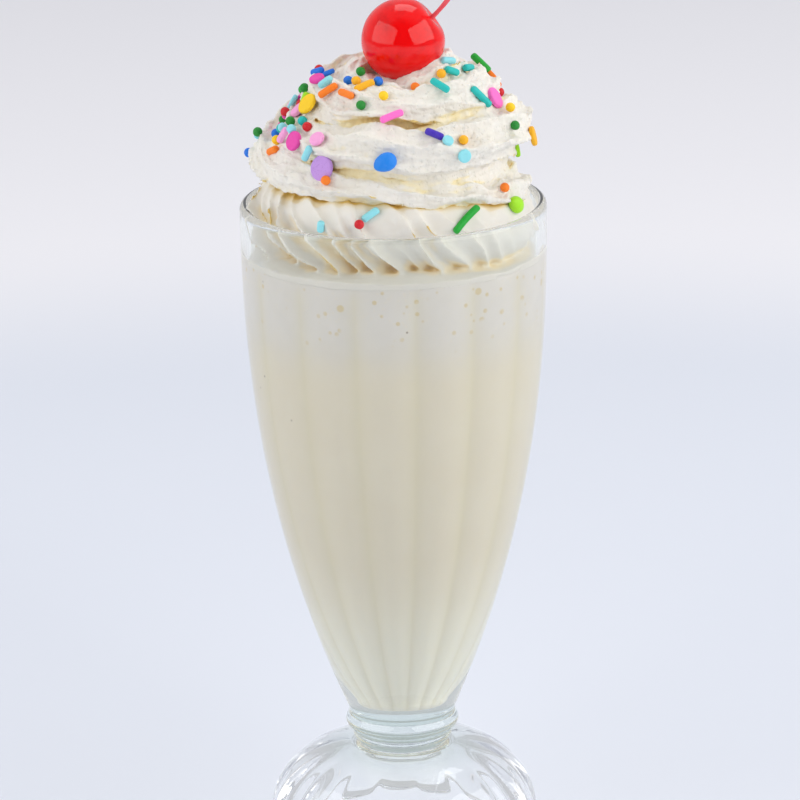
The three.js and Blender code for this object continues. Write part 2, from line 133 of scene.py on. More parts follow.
# Each tier's finish: how torn it is, how deep its silk waves are, how shut in its painted shade begins,
# and the tones of the painted shade and of the deeper painted shade
SILKY = {"torn": 0.0, "waves": 0.12, "shaded": 0.9, "shade": (228, 214, 182), "depth_shade": (214, 180, 96)}
RAGGED = {"torn": 1.0, "waves": 0.3, "shaded": 1.0, "shade": (247, 236, 200), "depth_shade": (234, 204, 132)}

# The cherry and its stalk
CHERRY_RADIUS, CHERRY_X, CHERRY_HEIGHT, CHERRY_LEAN, CHERRY_DIMPLE = 10.9, 3.4, 44.2, 52.0, 0.16
STALK_RADIUS, STALK_TIP, STALK_LENGTH, STALK_RISE, STALK_BEND = 0.6, 1.1, 29.0, 33.0, 12.0

# The sprinkles
AIM_HEIGHT = 8.0
BALL_RADIUS = 1.25
ROD_RADIUS = 0.95
DISC_RADIUS, DISC_THICKNESS = 2.9, 1.3
SUNK = {"ball": 0.5, "rod": 0.4, "disc": 0.3}
CANDY = {
    "blue": (2, 114, 222),
    "sky": (0, 130, 230),
    "green": (4, 136, 36),
    "leaf": (4, 162, 42),
    "lime": (160, 226, 14),
    "red": (208, 8, 28),
    "orange": (252, 128, 8),
    "gold": (248, 182, 8),
    "yellow": (254, 208, 4),
    "pink": (252, 112, 202),
    "rose": (250, 168, 220),
    "magenta": (236, 70, 172),
    "purple": (196, 150, 226),
    "indigo": (66, 38, 180),
    "teal": (18, 190, 184),
    "aqua": (144, 224, 234),
}
# Azimuth, lift, length, heading and colour
RODS = [
    (31, -6, 9.6, 53, "leaf"),
    (0, 40, 6.4, 65, "pink"),
    (20, 30, 5.0, 128, "indigo"),
    (33, 51, 5.6, 150, "teal"),
    (58, 42, 7.0, 155, "teal"),
    (83, 55, 5.0, 110, "teal"),
    (61, 60, 4.6, 125, "teal"),
    (75, 64, 4.4, 130, "aqua"),
    (-48, 51, 5.6, 35, "orange"),
    (-31, 51, 5.0, 105, "orange"),
    (-24, 59, 5.6, 45, "gold"),
    (-57, 55, 4.4, 40, "aqua"),
    (-10, -3, 5.0, 50, "aqua"),
    (-42, 22, 4.6, 30, "aqua"),
    (-97, 17, 4.4, 85, "aqua"),
    (-31, -8, 3.2, 10, "aqua"),
    (-66, 26, 5.4, 40, "rose"),
    (-72, 17, 4.6, 60, "orange"),
]
# Azimuth, lift, share of the full radius, and colour
DISCS = [
    (-34, 16, 1.15, "purple"),
    (73, 39, 1.0, "pink"),
    (-63, 43, 1.0, "yellow"),
    (-54, 25, 0.9, "magenta"),
    (83, 17, 0.9, "gold"),
    (-38, 27, 0.7, "rose"),
    (-100, 24, 0.8, "magenta"),
    (-77, 38, 0.8, "rose"),
    (-74, 54, 0.7, "magenta"),
    (-84, 60, 0.6, "blue"),
    (30, 20, 0.6, "aqua"),
    (88, 12, 0.7, "lime"),
    (24, 26, 0.5, "aqua"),
]
# Sugar eggs: azimuth, lift, size, heading and colour
EGGS = [
    (-3, 20, 2.5, 65, "sky"),
    (61, -6, 2.2, 130, "lime"),
]
# Azimuth, lift and colour
BALLS = [
    (-14, -6, "red"),
    (-30, 11, "orange"),
    (57, 2, "orange"),
    (-98, 9, "blue"),
    (-19, 46, "green"),
    (-5, 50, "yellow"),
    (25, 61, "orange"),
    (62, 26, "green"),
    (-93, 19, "green"),
    (-88, 22, "blue"),
    (-83, 26, "teal"),
    (-77, 21, "yellow"),
    (-67, 32, "green"),
    (-84, 34, "red"),
    (-53, 33, "red"),
    (-60, 35, "teal"),
    (-81, 48, "green"),
    (-50, 63, "blue"),
    (-42, 69, "green"),
    (-36, 62, "gold"),
    (-13, 64, "blue"),
    (50, 61, "gold"),
    (33, 26, "gold"),
    (72, 31, "yellow"),
    (-59, 29, "aqua"),
    (-105, 33, "rose"),
]
# The rest are strewn: thickly over the left shoulder, and thinly round the back
STREWN = 46
CLUSTER = {"share": 0.3, "azimuth": -88, "width": 30, "lift": 40, "height": 22}
THIN = {"azimuth": 106, "width": 142, "lift": 4, "height": 46}
BALL_SHARE, ROD_SHARE = 0.6, 0.92
STREWN_ROD = (4.0, 6.5)
SPACING = 5.0
FIRST_SEED = 4171
DRAW_FACTOR, DRAW_STEP, DRAW_RANGE = 1664525, 1013904223, 4294967296
DYE_PICKS = 997
# A sprinkle is laid on the highest of these places under it, as shares of its half width and length
PROBES = [(0, 0), (0.9, 0), (-0.9, 0), (0, 0.9), (0, -0.9), (0, 0.45), (0, -0.45)]
MOST_RAISED = 1.5
EGG_SHAPE = np.array([0.76, 1.0, 0.6])

# The camera stands as for the photograph
VIEW_TARGET = Vector((0.000874, 0.0, 0.1168))
VIEW_DISTANCE = 1.551
VIEW_ELEVATION = 16.6
VIEW_ROLL = -1.031
LENS = 265.6
SENSOR = 36.0

# The studio: pale walls, and a darker room behind the camera, out to these cosines from it
WALLS = (0.57, 0.58, 0.61)
DARK_ROOM = (0.14, 0.14, 0.15)
ROOM_EDGE, ROOM_MIDDLE = 0.35, 0.82
TABLE_SIDE = 12.0
TABLE_NEAR, TABLE_FAR = 0.42, 0.62
# Soft lamps: azimuth, elevation, distance, width, height, power and tint
LAMPS = {
    "left_window": (-62, 25, 1.4, 1.9, 1.2, 11.8, (1.0, 0.99, 0.97)),
    "right_window": (62, 25, 1.4, 1.9, 1.2, 15.6, (1.0, 0.99, 0.97)),
    "top_light": (170, 66, 1.5, 1.0, 0.8, 5.2, (1.0, 1.0, 1.0)),
}
LAMPS_AIM = Vector((0, 0, 0.15))


def lerp(a, b, t):
    return a + (b - a) * t


def smoothstep(x, low, high):
    t = np.clip((x - low) / (high - low), 0.0, 1.0)
    return t * t * (3 - 2 * t)


def from_screen(colour):
    """A colour given in 0-255 screen values, as the linear values that shaders use."""
    values = [c / 255 for c in colour]
    return tuple(v / 12.92 if v <= 0.04045 else ((v + 0.055) / 1.055) ** 2.4 for v in values)


# Shaders written as expressions


class Wire:
    """An output socket. Arithmetic on it adds a Math node, or a Vector Math node for a vector."""

    def __init__(self, socket):
        self.socket = socket

    def joined(self, operation, *terms):
        kind = "ShaderNodeVectorMath" if self.socket.type == "VECTOR" else "ShaderNodeMath"
        return node(self.socket.id_data, kind, {"operation": operation}, dict(enumerate(terms)))

    def __add__(self, other):
        return self.joined("ADD", self, other)

    def __radd__(self, other):
        return self.joined("ADD", other, self)

    def __sub__(self, other):
        return self.joined("SUBTRACT", self, other)

    def __rsub__(self, other):
        return self.joined("SUBTRACT", other, self)

    def __mul__(self, other):
        return self.joined("MULTIPLY", self, other)

    def __rmul__(self, other):
        return self.joined("MULTIPLY", other, self)


def node(tree, kind, settings=None, sockets=None, output=0):
    """Adds a node: its settings first, then its sockets' values or links. Returns an output of it."""
    made = tree.nodes.new(kind)
    for name, value in (settings or {}).items():
        setattr(made, name, value)
    for key, value in (sockets or {}).items():
        socket = made.inputs[key]
        if isinstance(value, Wire):
            tree.links.new(value.socket, socket)
        elif socket.type == "VECTOR" and isinstance(value, (int, float)):
            socket.default_value = (value,) * 3
        elif socket.type == "RGBA":
            socket.default_value = (*value, 1.0)
        else:
            socket.default_value = value
    return Wire(made.outputs[output]) if made.outputs else None


class Finish:
    """A material under way: its node tree, and the few kinds of node that every finish uses."""

    def __init__(self, name):
        self.material = bpy.data.materials.new(name)
        self.material.use_nodes = True
        self.tree = self.material.node_tree
        self.tree.nodes.clear()

    def node(self, kind, settings=None, sockets=None, output=0):
        return node(self.tree, kind, settings, sockets, output)

    def place(self):
        """The point on the surface, in metres."""
        return self.node("ShaderNodeTexCoord", output="Object")

    def height(self):
        """How high a point is, in millimetres."""
        return self.node("ShaderNodeSeparateXYZ", sockets={0: self.place()}, output="Z") * 1000.0

    def painted(self, name):
        """A value kept on the mesh."""
        return self.node("ShaderNodeAttribute", {"attribute_name": name}, output="Fac")

    def noise(self, size, detail=3.0, roughness=0.5):
        """Noise from 0 to 1 whose lumps are about this many millimetres wide."""
        sockets = {"Vector": self.place(), "Scale": 1000.0 / size, "Detail": detail, "Roughness": roughness}
        return self.node("ShaderNodeTexNoise", None, sockets, "Fac")

    def cells(self, size):
        """Cells about this many millimetres wide: how far a point is from its cell's middle."""
        sockets = {"Vector": self.place(), "Scale": 1000.0 / size}
        return self.node("ShaderNodeTexVoronoi", None, sockets, "Distance")

    def step(self, value, low, high):
        """0 below low, 1 above high, and smooth in between."""
        sockets = {"Value": value, "From Min": low, "From Max": high}
        return self.node("ShaderNodeMapRange", {"interpolation_type": "SMOOTHSTEP"}, sockets)

    def mix(self, factor, first, second):
        """The first colour where factor is 0 and the second where it is 1."""
        return self.node("ShaderNodeMix", {"data_type": "RGBA"}, {0: factor, 6: first, 7: second}, 2)

    def bump(self, height, depth, normal=None):
        """A normal for a height from 0 to 1, which stands this many millimetres deep."""
        sockets = {"Height": height, "Distance": depth * MM, "Strength": 1.0}
        if normal is not None:
            sockets["Normal"] = normal
        return self.node("ShaderNodeBump", None, sockets, "Normal")

    def done(self, **sockets):
        """Ends the finish with a Principled shader, and returns the material."""
        values = {name.replace("_", " "): value for name, value in sockets.items()}
        shader = self.node("ShaderNodeBsdfPrincipled", None, values)
        self.node("ShaderNodeOutputMaterial", None, {"Surface": shader})
        return self.material


# Finishes


def cream_finish(name, torn, waves, shaded, shade, depth_shade):
    """Whipped cream: greyer and darker low down, below 182 mm, with painted ochre shade in its hollows, silky
    or with torn pores.
    """
    f = Finish(name)
    hollow = f.painted("hollow")
    white = f.mix(f.noise(9.0), from_screen((234, 231, 225)), from_screen((238, 233, 220)))
    # Greyer and darker low down: below 182 mm the cream fades to a grey tone, reached at 160 mm
    darker_below = f.mix(f.step(f.height(), 160.0, 182.0), from_screen((211, 207, 197)), white)
    # Painted shade: these two tones darken the cream towards ochre where it is shut in, in its hollows and
    # crevices
    with_painted_shade = f.mix(f.step(hollow, 0.17 * shaded, 0.45 * shaded), darker_below, from_screen(shade))
    with_deep_painted_shade = f.mix(f.step(hollow, 0.42 * shaded, 0.75 * shaded), with_painted_shade, from_screen(depth_shade))
    silk = f.noise(3.0, 2.0)
    skin = f.bump(silk, waves)
    if torn:
        pores = f.step(f.cells(1.1), 0.1, 0.4)
        grain = f.noise(0.9, 4.0, 0.6) * 0.6 + pores * 0.4
        skin = f.bump(grain, 0.34 * torn, skin)
    return f.done(
        Base_Color=with_deep_painted_shade,
        Roughness=f.step(silk, -0.6, 1.6) * 0.2 + (0.42 + 0.2 * torn),
        Normal=skin,
        Subsurface_Weight=0.25,
        Subsurface_Radius=(1.0, 0.9, 0.75),
        Subsurface_Scale=0.0012,
        Specular_IOR_Level=0.35,
    )


def drink_finish(name):
    """The milkshake, which turns into a whiter foam with bubbles towards the top."""
    f = Finish(name)
    height = f.height()
    cloud = f.noise(16.0, 3.0)
    rise = f.step(height + cloud * 10.0, 134.0, 152.0)
    beige = f.mix(cloud, from_screen((215, 207, 187)), from_screen((209, 199, 177)))
    # Painted light: the drink is painted paler low in the glass, below 84 mm, as if more brightly lit there
    lit = f.mix(f.step(height, 42.0, 84.0), from_screen((226, 223, 206)), beige)
    pale = f.mix(f.noise(5.0), from_screen((212, 207, 199)), from_screen((205, 200, 191)))
    body = f.mix(rise, lit, pale)
    fizz = f.step(height, 134.0, 150.0)
    some = f.step(f.noise(7.0, 1.0) + f.step(height, 144.0, 156.0) * 0.2, 0.49, 0.61)
    small = 1 - f.step(f.cells(3.1), 0.14, 0.24)
    large = 1 - f.step(f.cells(7.3), 0.1, 0.16)
    bubbles = (small + large * (1 - small)) * some * fizz
    froth = (1 - f.step(f.cells(1.3), 0.16, 0.3)) * some * f.step(height, 110.0, 150.0)
    # Painted shade: the drink is darkened to a yellowish tone along the flutes' ridges, where the thick glass
    # shades it
    ridge_shaded = f.mix(f.painted("ridge") * 0.4, body, from_screen((206, 197, 164)))
    marked = f.mix(bubbles * 0.6, ridge_shaded, from_screen((198, 176, 114)))
    frothy = f.mix(froth * 0.3, marked, from_screen((218, 206, 180)))
    specks = (1 - f.step(f.cells(9.0), 0.02, 0.045)) * f.step(height, 100.0, 130.0)
    speckled = f.mix(specks * 0.7, frothy, from_screen((120, 104, 84)))
    return f.done(
        Base_Color=speckled,
        Roughness=0.3 + bubbles * 0.2,
        Normal=f.bump(f.noise(2.5), 0.05),
        Subsurface_Weight=0.2,
        Subsurface_Radius=(1.0, 0.85, 0.6),
        Subsurface_Scale=0.002,
    )


def glass_finish():
    """Clear pressed glass, slightly greener where it is thick, with faint waves in its skin."""
    f = Finish("pressed_glass")
    height = f.height()
    bowl = f.mix(f.step(height, 18.0, 23.0), (0.985, 0.994, 0.99), (0.935, 0.972, 0.952))
    thick = f.step(height, 20.0, 24.0) - f.step(height, 31.0, 36.0)
    tint = f.mix(thick, bowl, (0.70, 0.80, 0.76))
    return f.done(
        Base_Color=tint,
        Roughness=0.012,
        IOR=1.51,
        Transmission_Weight=1.0,
        Normal=f.bump(f.noise(11.0, 1.0), 0.03),
    )


def cherry_finish():
    """A candied cherry: deep red with darker veins under a wet coat."""
    f = Finish("cherry_skin")
    veins = f.step(f.noise(4.5, 4.0, 0.6), 0.45, 0.8)
    red = f.mix(veins, from_screen((238, 0, 3)), from_screen((212, 0, 4)))
    return f.done(
        Base_Color=red,
        Roughness=0.05 + f.noise(2.0) * 0.03,
        Normal=f.bump(f.noise(3.2, 2.0), 0.06),
        Subsurface_Weight=0.3,
        Subsurface_Radius=(1.0, 0.1, 0.06),
        Subsurface_Scale=0.004,
        Specular_IOR_Level=0.4,
    )


def stalk_finish():
    """The cherry's stalk: dyed pink-red, browner towards the tip."""
    f = Finish("stalk_skin")
    streaks = f.noise(0.8, 3.0)
    up = f.step(f.height(), 226.0, 243.0)
    red = f.mix(up, from_screen((214, 44, 66)), from_screen((176, 34, 48)))
    streaked = f.mix(streaks, red, from_screen((236, 96, 104)))
    return f.done(
        Base_Color=streaked,
        Roughness=0.32 + streaks * 0.2,
        Normal=f.bump(streaks, 0.08),
        Subsurface_Weight=0.1,
        Subsurface_Scale=0.001,
    )


def candy_finish(name, pitted):
    """Sugar sprinkles, each in its own dye, mottled a little and pitted where they are pressed."""
    f = Finish(name)
    dye = f.node("ShaderNodeAttribute", {"attribute_name": "dye"}, output="Color")
    mottle = f.noise(0.8, 3.0)
    pale = f.mix(mottle * 0.05, dye, from_screen((255, 250, 250)))
    pits = f.step(f.cells(0.42), 0.1, 0.3)
    return f.done(
        Base_Color=pale,
        Roughness=0.3 + mottle * 0.2 + 0.15 * pitted,
        Normal=f.bump(mottle * (1 - pitted) + pits * pitted, 0.03 + 0.09 * pitted),
        Specular_IOR_Level=0.2,
    )


def floor_finish():
    """A plain pale table that turns a little warmer far from the glass, as the wall behind it does."""
    f = Finish("pale_table")
    across = f.node("ShaderNodeVectorMath", {"operation": "LENGTH"}, {0: f.place() * (1, 1, 0)}, "Value")
    far = f.step(across, TABLE_NEAR, TABLE_FAR)
    near_tone = f.mix(f.noise(240.0), from_screen((224, 228, 238)), from_screen((227, 231, 240)))
    return f.done(
        Base_Color=f.mix(far, near_tone, from_screen((246, 245, 249))),
        Roughness=0.6,
        Specular_IOR_Level=0.2,
    )


# Meshes from rows of numbers


def mesh_of(name, points, faces):
    """A mesh with its faces looking out, from points in millimetres."""
    points = np.asarray(points, float)
    if volume_of(points, faces) < 0:
        faces = [tuple(reversed(face)) for face in faces]
    mesh = bpy.data.meshes.new(name)
    mesh.from_pydata((points * MM).tolist(), [], [tuple(map(int, face)) for face in faces])
    mesh.validate()
    mesh.polygons.foreach_set("use_smooth", [True] * len(mesh.polygons))
    return mesh


def volume_of(points, faces):
    """The signed volume inside faces of three or four corners."""
    corners = np.array([(face[0], face[1], face[2], face[-1]) for face in faces])
    a, b, c, d = (points[corners[:, i]] for i in range(4))
    return (np.cross(a, b) * c).sum() / 6 + (np.cross(a, c) * d).sum() / 6


def piece(name, mesh, finish, node_name):
    """Puts a mesh in the scene as a piece of the object, in place of a CAD node."""
    mesh.materials.append(finish)
    obj = bpy.data.objects.new(name, mesh)
    bpy.context.scene.collection.objects.link(obj)
    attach(obj, "root")
    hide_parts(node_name)
    return obj


def grid_faces(rows, columns, first=0):
    """The faces of a grid of points that closes round its columns."""
    index = first + np.arange(rows * columns).reshape(rows, columns)
    after = np.roll(index, -1, axis=1)
    quads = np.stack([index[:-1], after[:-1], after[1:], index[1:]], axis=2)
    return [tuple(face) for face in quads.reshape(-1, 4)]


def closed_grid(rings):
    """A closed form from rings of points, each (columns, 3), whose ends are drawn to their middles."""
    rows, columns = len(rings), len(rings[0])
    points = np.concatenate([*rings, [rings[0].mean(axis=0)], [rings[-1].mean(axis=0)]])
    faces = grid_faces(rows, columns)
    start, end = rows * columns, rows * columns + 1
    last = (rows - 1) * columns
    for i in range(columns):
        j = (i + 1) % columns
        faces.append((start, j, i))
        faces.append((end, last + i, last + j))
    return points, faces


def lathe(profile, columns):
    """A solid of revolution about the axis, from a profile that starts and ends on it."""
    turn = math.radians(RIDGE_AZIMUTH) + np.arange(columns) * 2 * math.pi / columns
    rings = [np.stack([r * np.sin(turn), -r * np.cos(turn), np.full(columns, z)], axis=1)
             for r, z in profile[1:-1]]
    points, faces = closed_grid(rings)
    points[-2] = (0, 0, profile[0][1])
    points[-1] = (0, 0, profile[-1][1])
    return points, faces


def arc(centre_r, centre_z, radius_r, radius_z, start, end, steps):
    angle = np.radians(np.linspace(start, end, steps + 1))
    return list(zip(centre_r + radius_r * np.cos(angle), centre_z + radius_z * np.sin(angle)))


def around(azimuth, radius, z):
    turn = np.radians(azimuth)
    return np.stack(np.broadcast_arrays(radius * np.sin(turn), -radius * np.cos(turn), z), axis=-1)


def radius_and_turn(points):
    return np.hypot(points[:, 0], points[:, 1]), np.arctan2(points[:, 0], -points[:, 1])


# The glass and the drink


def outer_radius(z):
    share = np.maximum(RIM_LEVEL - z, 0.0) / BOWL_DEPTH
    return RIM_RADIUS - (RIM_RADIUS - WAIST_RADIUS) * share ** BOWL_CURVE


def cavity_radius(z):
    share = np.maximum(RIM_LEVEL - z, 0.0) / (RIM_LEVEL - CAVITY_FLOOR)
    return outer_radius(z) - LIP_WIDTH - WALL_GROWTH * share ** 4


def flute_lobe(turn):
    """How far the flutes stand out at a turn, for a depth of 1: pointed ridges and round furrows."""
    wave = np.sin((turn - math.radians(RIDGE_AZIMUTH)) * FLUTES / 2)
    return np.sqrt(wave ** 2 + RIDGE_ROUNDING ** 2) - 2 / math.pi


def bowl_flute_depth(radius, z):
    start = smoothstep(RIM_LEVEL - z - FLUTES_START, 0.0, FLUTES_FADE)
    narrow = lerp(0.35, 1.0, np.clip(radius / 30.0, 0, 1)) * smoothstep(radius, 0.0, 6.0)
    return FLUTE_DEPTH * start * narrow


def glass_flute_depth(radius, z):
    on_foot = z < NECK_BOTTOM - 0.5
    rise = np.sin(math.pi * np.clip(z / NECK_BOTTOM, 0, 1))
    foot = FOOT_FLUTE_DEPTH * rise * smoothstep(radius, *FOOT_FLUTES_FADE)
    inside = (z > CAVITY_FLOOR - 0.1) & (radius < outer_radius(z) - LIP_WIDTH / 2)
    return np.where(on_foot, foot, np.where(inside, bowl_flute_depth(radius, z), 0.0))


def fluted(points, depth_at):
    radius, turn = radius_and_turn(points)
    scale = 1 + depth_at(radius, points[:, 2]) * flute_lobe(turn) / np.maximum(radius, 0.01)
    return points * np.stack([scale, scale, np.ones_like(scale)], axis=1)


def wall(bottom, top, clearance, steps):
    """The cavity's wall between two heights, as profile points."""
    return [(cavity_radius(z) - clearance, z) for z in np.linspace(bottom, top, steps + 1)]


def cavity(level, clearance, steps):
    """The cavity's floor and its wall up to a level, as profile points."""
    corner = CAVITY_FLOOR + FLOOR_FILLET
    reach = cavity_radius(corner) - FLOOR_FILLET
    fillet = FLOOR_FILLET - clearance
    floor = [(r, CAVITY_FLOOR + clearance) for r in np.linspace(0, reach, 8)[:-1]]
    return floor + arc(reach, corner, fillet, fillet, -90, 0, 8) + wall(corner, level, clearance, steps)[1:]


def bead(top, bottom, top_radius, bottom_radius, bulge, steps):
    share = np.linspace(0, 1, steps + 1)
    radius = lerp(top_radius, bottom_radius, share) + bulge * np.sin(math.pi * share)
    return list(zip(radius, lerp(top, bottom, share)))


def make_glass():
    waist = RIM_LEVEL - BOWL_DEPTH
    outside = [(outer_radius(z), z) for z in np.linspace(RIM_LEVEL, waist, 61)[1:]]
    profile = [
        *cavity(RIM_LEVEL - 0.4, 0.0, 56),
        *arc(RIM_RADIUS - LIP_WIDTH / 2, RIM_LEVEL, LIP_WIDTH / 2, LIP_ROUND, 180, 0, 14),
        *outside,
        *bead(waist - 1.6, COLLAR_BOTTOM, COLLAR_RADIUS, NECK_RADIUS, COLLAR_BULGE, 10),
        *bead(COLLAR_BOTTOM, NECK_BOTTOM, NECK_RADIUS, NECK_FOOT_RADIUS, NECK_BULGE, 8)[1:],
        *arc(FOOT_FLAT_TOP, FOOT_EDGE, FOOT_RADIUS - FOOT_FLAT_TOP, NECK_BOTTOM - FOOT_EDGE, 90, 0, 28),
        (FOOT_RING_OUT, 0.0),
        (FOOT_RING_IN, 0.0),
        *arc(HOLLOW_FLAT_TOP, HOLLOW_ABOVE, HOLLOW_RADIUS - HOLLOW_FLAT_TOP, HOLLOW_HEIGHT, 0, 90, 24),
        *[(r, HOLLOW_ABOVE + HOLLOW_HEIGHT) for r in (6.0, 3.0, 0.0)],
    ]
    points, faces = lathe(profile, COLUMNS)
    mesh = mesh_of("glass_fluted", fluted(points, glass_flute_depth), faces)
    glass = piece("glass_fluted", mesh, glass_finish(), "glass")
    # Light passes it freely, because a shader's clear glass casts a shadow much darker than the real one
    glass.visible_shadow = False
    glass.visible_diffuse = False


def paint(mesh, name, values):
    """Keeps a value on each point of a mesh, for its finish to read."""
    mesh.attributes.new(name, "FLOAT", "POINT").data.foreach_set("value", np.asarray(values, np.float32))


def paint_ridge_shade(mesh, points):
    """Marks what lies along the flutes' ridges, from 0 to 1, fading out where the flutes do: the drink's
    finish paints shade there.
    """
    radius, turn = radius_and_turn(points)
    near = 1 - np.abs(np.sin((turn - math.radians(RIDGE_AZIMUTH)) * FLUTES / 2))
    paint(mesh, "ridge", near ** 2 * bowl_flute_depth(radius, points[:, 2]) / FLUTE_DEPTH)


def make_drink(finish):
    profile = [*cavity(SHAKE_LEVEL, -INTO_WALL, 60), (0.0, SHAKE_LEVEL)]
    profile[-2:-2] = [(cavity_radius(SHAKE_LEVEL - CREASE) + INTO_WALL, SHAKE_LEVEL - CREASE)]
    points, faces = lathe(profile, COLUMNS)
    shake = mesh_of("milkshake_fill", fluted(points, bowl_flute_depth), faces)
    paint_ridge_shade(shake, points)
    piece("milkshake_fill", shake, finish, "milkshake")


def foam_top(turn):
    """How far the foam climbs above its level at the wall."""
    waves = [noise.noise(Vector((3.1 * math.sin(t), 3.1 * math.cos(t), 4.0))) for t in turn]
    return 0.4 + 2.4 * np.array(waves)


def make_foam(finish):
    under = SHAKE_LEVEL - OVERLAP
    profile = [
        (0.0, under),
        (cavity_radius(under) - OVERLAP, under),
        (cavity_radius(SHAKE_LEVEL) + INTO_WALL, SHAKE_LEVEL - CREASE),
        *wall(SHAKE_LEVEL, FOAM_LEVEL, -INTO_WALL, 14),
        (cavity_radius(FOAM_LEVEL) - 3.0, FOAM_LEVEL + 1.0),
        (0.0, FOAM_LEVEL + 1.0),
    ]
    points, faces = lathe(profile, COLUMNS)
    radius, turn = radius_and_turn(points)
    climb = smoothstep(points[:, 2], FOAM_LEVEL - 6, FOAM_LEVEL) * smoothstep(radius, 10.0, 30.0)
    points[:, 2] += climb * foam_top(turn)
    foam = mesh_of("milkshake_froth", fluted(points, bowl_flute_depth), faces)
    paint_ridge_shade(foam, points)
    piece("milkshake_froth", foam, finish, "milkshake_foam")


# The cream


def swirl_at(quarter):
    """The rope's reach, height, half width and half height, a number of quarter turns along it."""
    last = len(SWIRL) - 1
    start = np.clip(np.floor(quarter).astype(int), 0, last - 1)
    t = (quarter - start)[:, None]
    before, here, there, after = (SWIRL[np.clip(start + i, 0, last)] for i in (-1, 0, 1, 2))
    slope_here, slope_there = (there - before) / 2, (after - here) / 2
    bend = 2 * (here - there) + slope_here + slope_there
    return here + t * (slope_here + t * (3 * (there - here) - 2 * slope_here - slope_there + t * bend))


def smear(quarter):
    """The share of their depth that the pleats keep: next to none where the glass smears them."""
    return 1 - SMEARED * np.exp(-((quarter - SMEAR_MIDDLE) / SMEAR_WIDTH) ** 2)


def uneven_teeth(quarter, teeth):
    """How each tooth's ridge differs along the rope, from about -1 to 1."""
    return np.array([[noise.noise(Vector((1.7 * q, 5.3 * k, teeth))) for k in range(teeth)] for q in quarter])


def squared(out, up, square):
    """What makes the lower half of a round section squarer: 1 on the upper half."""
    corner = np.abs(out) ** (1 / square) + np.abs(up) ** (1 / square)
    return np.where(up < 0, np.maximum(corner, 0.3), 1.0) ** -square


def rope(kind, kept=None):
    """A closed stretch of rope with the star nozzle's ridges, wound along the swirl."""
    start, end, teeth = kind["start"], kind["end"], kind["teeth"]
    quarter = np.linspace(start, end, int((end - start) * kind["rings"]) + 1)
    columns = teeth * TOOTH_POINTS
    angle = np.arange(columns) * 2 * math.pi / columns
    tooth = np.round(angle / (2 * math.pi) * teeth).astype(int) % teeth
    uneven = uneven_teeth(quarter, teeth)[:, tooth]
    sway = np.array([noise.noise(Vector((4.1 * q, 0.0, 7.0))) for q in quarter]) * kind["wobble"]
    twist = angle[None, :] + 2 * math.pi * (quarter + sway)[:, None] * kind["twist"]

    valley = np.abs(np.sin(teeth * angle / 2))[None, :]
    ridge = (1 - valley ** FURROW_SHARPNESS) * np.maximum(1 + RIDGE_SPREAD * uneven, LEAST_RIDGE)
    lines = np.abs(np.sin(kind["lines"] * angle / 2))[None, :] * kind["line_depth"]
    depth = kind["depth"] * (kept(quarter)[:, None] if kept else 1.0)
    depth = depth * (1 - kind["calm"] * smoothstep(np.sin(twist), *CALM_SIDE))
    size = ROPE_SIZE - FURROW_REACH * depth + RIDGE_REACH * depth * ridge - lines
    ends = np.minimum(quarter - start, end - quarter)[:, None]
    size = size * np.sqrt(1 - (1 - np.clip(ends / ROPE_END, 0.02, 1)) ** 2)

    out, up = np.cos(twist + kind["lean"] * ridge), np.sin(twist + kind["lean"] * ridge)
    size = size * squared(out, up, kind["square"])
    reach, height, half_width, half_height = (row[:, None] for row in swirl_at(quarter).T)
    radius = reach - half_width + half_width * size * out
    z = RIM_LEVEL + height + half_height * size * up
    return closed_grid(list(around(180 - 90 * quarter[:, None], radius, z)))


def fused(shells, voxel):
    """One skin round several closed shells, in cells of a size, as its points, faces and normals."""
    points, faces = [], []
    for shell_points, shell_faces in shells:
        first = sum(len(p) for p in points)
        if volume_of(shell_points, shell_faces) < 0:
            shell_faces = [tuple(reversed(face)) for face in shell_faces]
        points.append(shell_points)
        faces += [tuple(first + int(i) for i in face) for face in shell_faces]
    mesh = bpy.data.meshes.new("fusing")
    mesh.from_pydata((np.concatenate(points) * MM).tolist(), [], faces)
    obj = bpy.data.objects.new("fusing", mesh)
    bpy.context.scene.collection.objects.link(obj)
    remesh = obj.modifiers.new("fuse", "REMESH")
    remesh.mode = "VOXEL"
    remesh.voxel_size = voxel * MM
    evaluated = obj.evaluated_get(bpy.context.evaluated_depsgraph_get())
    skin = bpy.data.meshes.new_from_object(evaluated)
    bpy.data.objects.remove(obj)
    bpy.data.meshes.remove(mesh)
    found = largest_part(skin)
    bpy.data.meshes.remove(skin)
    return found


def read_mesh(mesh):
    points = np.empty(len(mesh.vertices) * 3)
    mesh.vertices.foreach_get("co", points)
    corners = np.empty(len(mesh.loops), int)
    mesh.loops.foreach_get("vertex_index", corners)
    return points.reshape(-1, 3) / MM, corners.reshape(-1, 4)


def largest_part(mesh):
    """The points and faces of the largest connected part of a mesh of quads."""
    points, faces = read_mesh(mesh)
    label = np.arange(len(points))
    while True:
        lowest = label[faces].min(axis=1)
        spread = label.copy()
        np.minimum.at(spread, faces.ravel(), np.repeat(lowest, 4))
        spread = spread[spread]
        if (spread == label).all():
            break
        label = spread
    names, counts = np.unique(label, return_counts=True)
    kept = label == names[counts.argmax()]
    number = np.cumsum(kept) - 1
    return points[kept], number[faces[kept[faces[:, 0]]]]


def normals_of(points, faces):
    across = np.cross(points[faces[:, 2]] - points[faces[:, 0]], points[faces[:, 3]] - points[faces[:, 1]])
    normals = np.zeros_like(points)
    for i in range(4):
        np.add.at(normals, faces[:, i], across)
    return normals / np.maximum(np.linalg.norm(normals, axis=1, keepdims=True), 1e-9)


